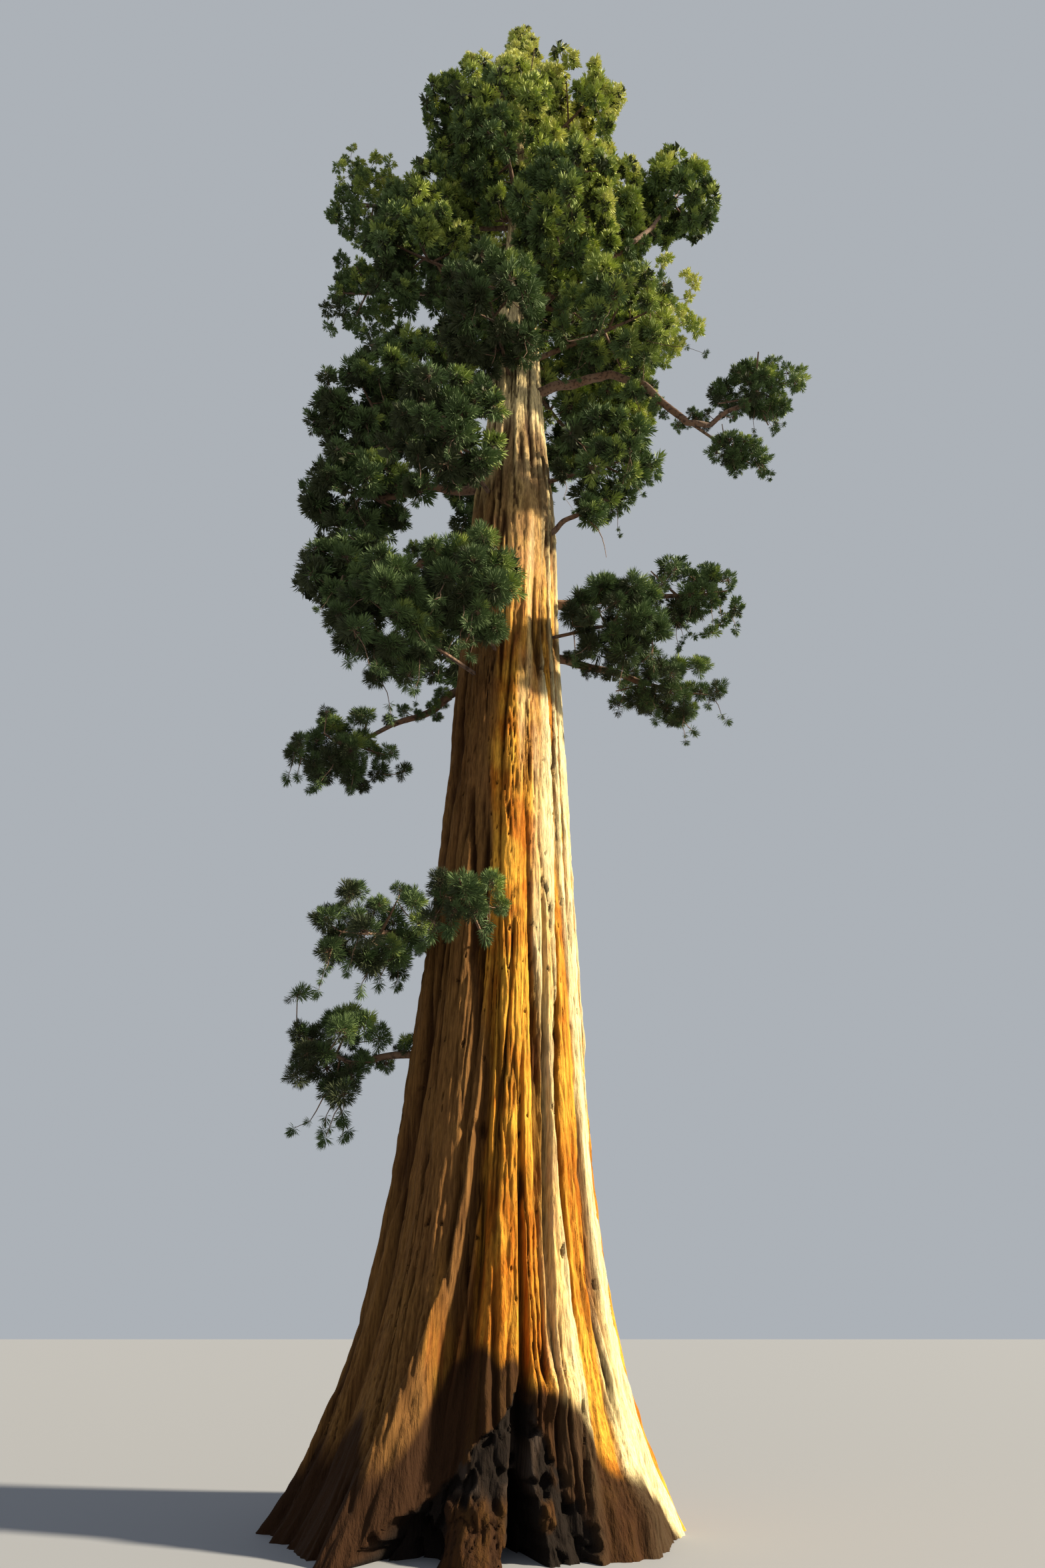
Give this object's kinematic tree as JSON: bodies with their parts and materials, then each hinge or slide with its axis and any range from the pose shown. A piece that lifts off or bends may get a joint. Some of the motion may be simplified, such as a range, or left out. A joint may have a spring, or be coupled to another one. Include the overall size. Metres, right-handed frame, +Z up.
{
  "type": "giant sequoia tree",
  "caption": "Old giant sequoia, whole: a tall furrowed trunk with a root flare and fire scars at its foot, bare low down, and an uneven narrow crown of foliage masses.",
  "frame": {"origin": "centre of the flat cut under the trunk, at ground level", "axes": "+Z up the trunk, +X to the right of the picture, +Y away from its camera"},
  "size_m": [10.4159, 5.9247, 39.866],
  "materials": {
    "trunk_bark": "thick fibrous cinnamon bark in deep upright furrows, charred black round the fire scars",
    "bough_bark": "rough grey-brown bark",
    "shaded_foliage": "dark blue-green sprays of scale-like needles, matt",
    "sunlit_foliage": "yellow-green sprays of scale-like needles, matt"
  },
  "bodies": {
    "root": {"back_low": "shaded_foliage", "back_mid": "sunlit_foliage", "front_low": "shaded_foliage", "left_front_low": "shaded_foliage", "left_front_mid": "shaded_foliage", "left_front_upper": "shaded_foliage", "left_hanging": "shaded_foliage", "left_hanging_bough": "bough_bark", "left_low_bough": "bough_bark", "left_mid": "shaded_foliage", "left_mid_bough": "bough_bark", "left_tip_low": "shaded_foliage", "left_upper_low": "shaded_foliage", "low_left_front": "shaded_foliage", "low_left_lower": "shaded_foliage", "low_left_lower_bough": "bough_bark", "low_left_upper": "shaded_foliage", "low_left_upper_bough": "bough_bark", "right_dead_bough": "bough_bark", "right_long_bough": "bough_bark", "right_long_bough_outer": "bough_bark", "right_long_bough_tip": "bough_bark", "right_long_hanging": "sunlit_foliage", "right_long_tip": "sunlit_foliage", "right_low_bough": "bough_bark", "right_low_inner": "shaded_foliage", "right_low_outer": "shaded_foliage", "right_low_under": "shaded_foliage", "right_mid_back": "sunlit_foliage", "right_mid_low": "sunlit_foliage", "right_under_bough": "bough_bark", "right_upper": "sunlit_foliage", "right_upper_back": "sunlit_foliage", "right_upper_bough": "bough_bark", "tier_a_1": "sunlit_foliage", "tier_a_2": "sunlit_foliage", "tier_a_3": "shaded_foliage", "tier_b_1": "sunlit_foliage", "tier_b_2": "sunlit_foliage", "tier_b_3": "shaded_foliage", "tier_b_4": "shaded_foliage", "tier_c_1": "shaded_foliage", "tier_c_2": "sunlit_foliage", "tier_c_3": "sunlit_foliage", "tier_c_4": "shaded_foliage", "tier_d_1": "shaded_foliage", "tier_d_2": "sunlit_foliage", "tier_d_3": "sunlit_foliage", "tier_d_4": "shaded_foliage", "tier_e_1": "sunlit_foliage", "tier_e_2": "sunlit_foliage", "tier_e_3": "shaded_foliage", "tier_f_1": "shaded_foliage", "tier_f_2": "sunlit_foliage", "top": "sunlit_foliage", "trunk": "trunk_bark", "upper_left": "shaded_foliage", "upper_left_bough": "bough_bark", "upper_left_low": "shaded_foliage"}
  },
  "joints": []
}
